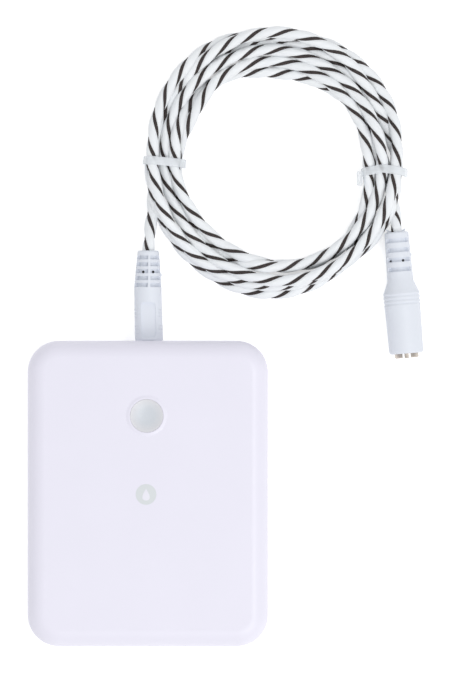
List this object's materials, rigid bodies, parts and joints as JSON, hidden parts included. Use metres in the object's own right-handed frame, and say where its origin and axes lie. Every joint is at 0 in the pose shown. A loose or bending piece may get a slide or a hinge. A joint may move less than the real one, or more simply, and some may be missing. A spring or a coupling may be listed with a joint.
{
  "type": "water leak sensor",
  "caption": "Battery-powered water leak sensor box with a lit push button and a coiled twisted sensing rope that plugs in and ends in a line socket.",
  "frame": {"origin": "centre of the box in plan, on the surface that its feet stand on", "axes": "+Z out of the face with the button, +Y towards the end wall with the jack, +X to the right when the face is looked at with the jack at the top"},
  "size_m": [0.1187, 0.1867, 0.0248],
  "materials": {
    "case_plastic": "fine satin, white with a lavender tint",
    "button_plastic": "translucent satin",
    "moulded_plug": "pale grey-blue satin",
    "rope_fibre": "white twisted strands with thin black yarns",
    "tie_nylon": "translucent nylon",
    "crown_brass": "bright turned",
    "contact_brass": "bright",
    "plug_metal": "bright nickel",
    "battery_metal": "bright nickel",
    "screw_steel": "zinc",
    "black_plastic": "satin",
    "board_laminate": "solder resist",
    "shield_metal": "bright",
    "lamp_plastic": "clear",
    "cell_jacket": "satin",
    "lead_wire": "insulated wire",
    "seal_rubber": "matt",
    "foot_rubber": "matt"
  },
  "bodies": {
    "box": {"front_cover": "case_plastic", "rear_cover": "case_plastic", "plug_overmould": "moulded_plug", "socket_overmould": "moulded_plug", "rope_coil": "rope_fibre", "rope_lead": "rope_fibre", "rope_tail": "rope_fibre", "left_cable_tie": "tie_nylon", "right_cable_tie": "tie_nylon", "socket_crown": "crown_brass", "jack_tip_contact": "contact_brass", "jack_sleeve_contact": "contact_brass", "socket_tip_contact": "contact_brass", "plug_tip": "plug_metal", "plug_sleeve": "plug_metal", "jack_bushing": "plug_metal", "battery_link_plate": "battery_metal", "battery_positive_plate": "battery_metal", "battery_negative_plate": "battery_metal", "battery_spring_1": "battery_metal", "battery_spring_2": "battery_metal", "cover_screw_1": "screw_steel", "cover_screw_2": "screw_steel", "cover_screw_3": "screw_steel", "cover_screw_4": "screw_steel", "board_screw_1": "screw_steel", "board_screw_2": "screw_steel", "board_screw_3": "screw_steel", "board_screw_4": "screw_steel", "jack_body": "black_plastic", "plug_insulator": "black_plastic", "socket_insulator": "black_plastic", "switch_body": "black_plastic", "controller_chip": "black_plastic", "battery_cradle": "black_plastic", "circuit_board": "board_laminate", "radio_board": "board_laminate", "radio_shield": "shield_metal", "status_lamp": "lamp_plastic", "battery_cell_1": "cell_jacket", "battery_cell_2": "cell_jacket", "battery_lead_1": "lead_wire", "battery_lead_2": "lead_wire", "cover_seal": "seal_rubber", "rubber_foot_1": "foot_rubber", "rubber_foot_2": "foot_rubber", "rubber_foot_3": "foot_rubber", "rubber_foot_4": "foot_rubber"},
    "push_button": {"button": "button_plastic", "switch_plunger": "black_plastic"}
  },
  "joints": [
    {"name": "button_press", "type": "slide", "parent": "box", "child": "push_button", "axis": [0, 0, -1], "range_m": [0, 0.0005], "stiffness_N_per_m": 3000}
  ]
}
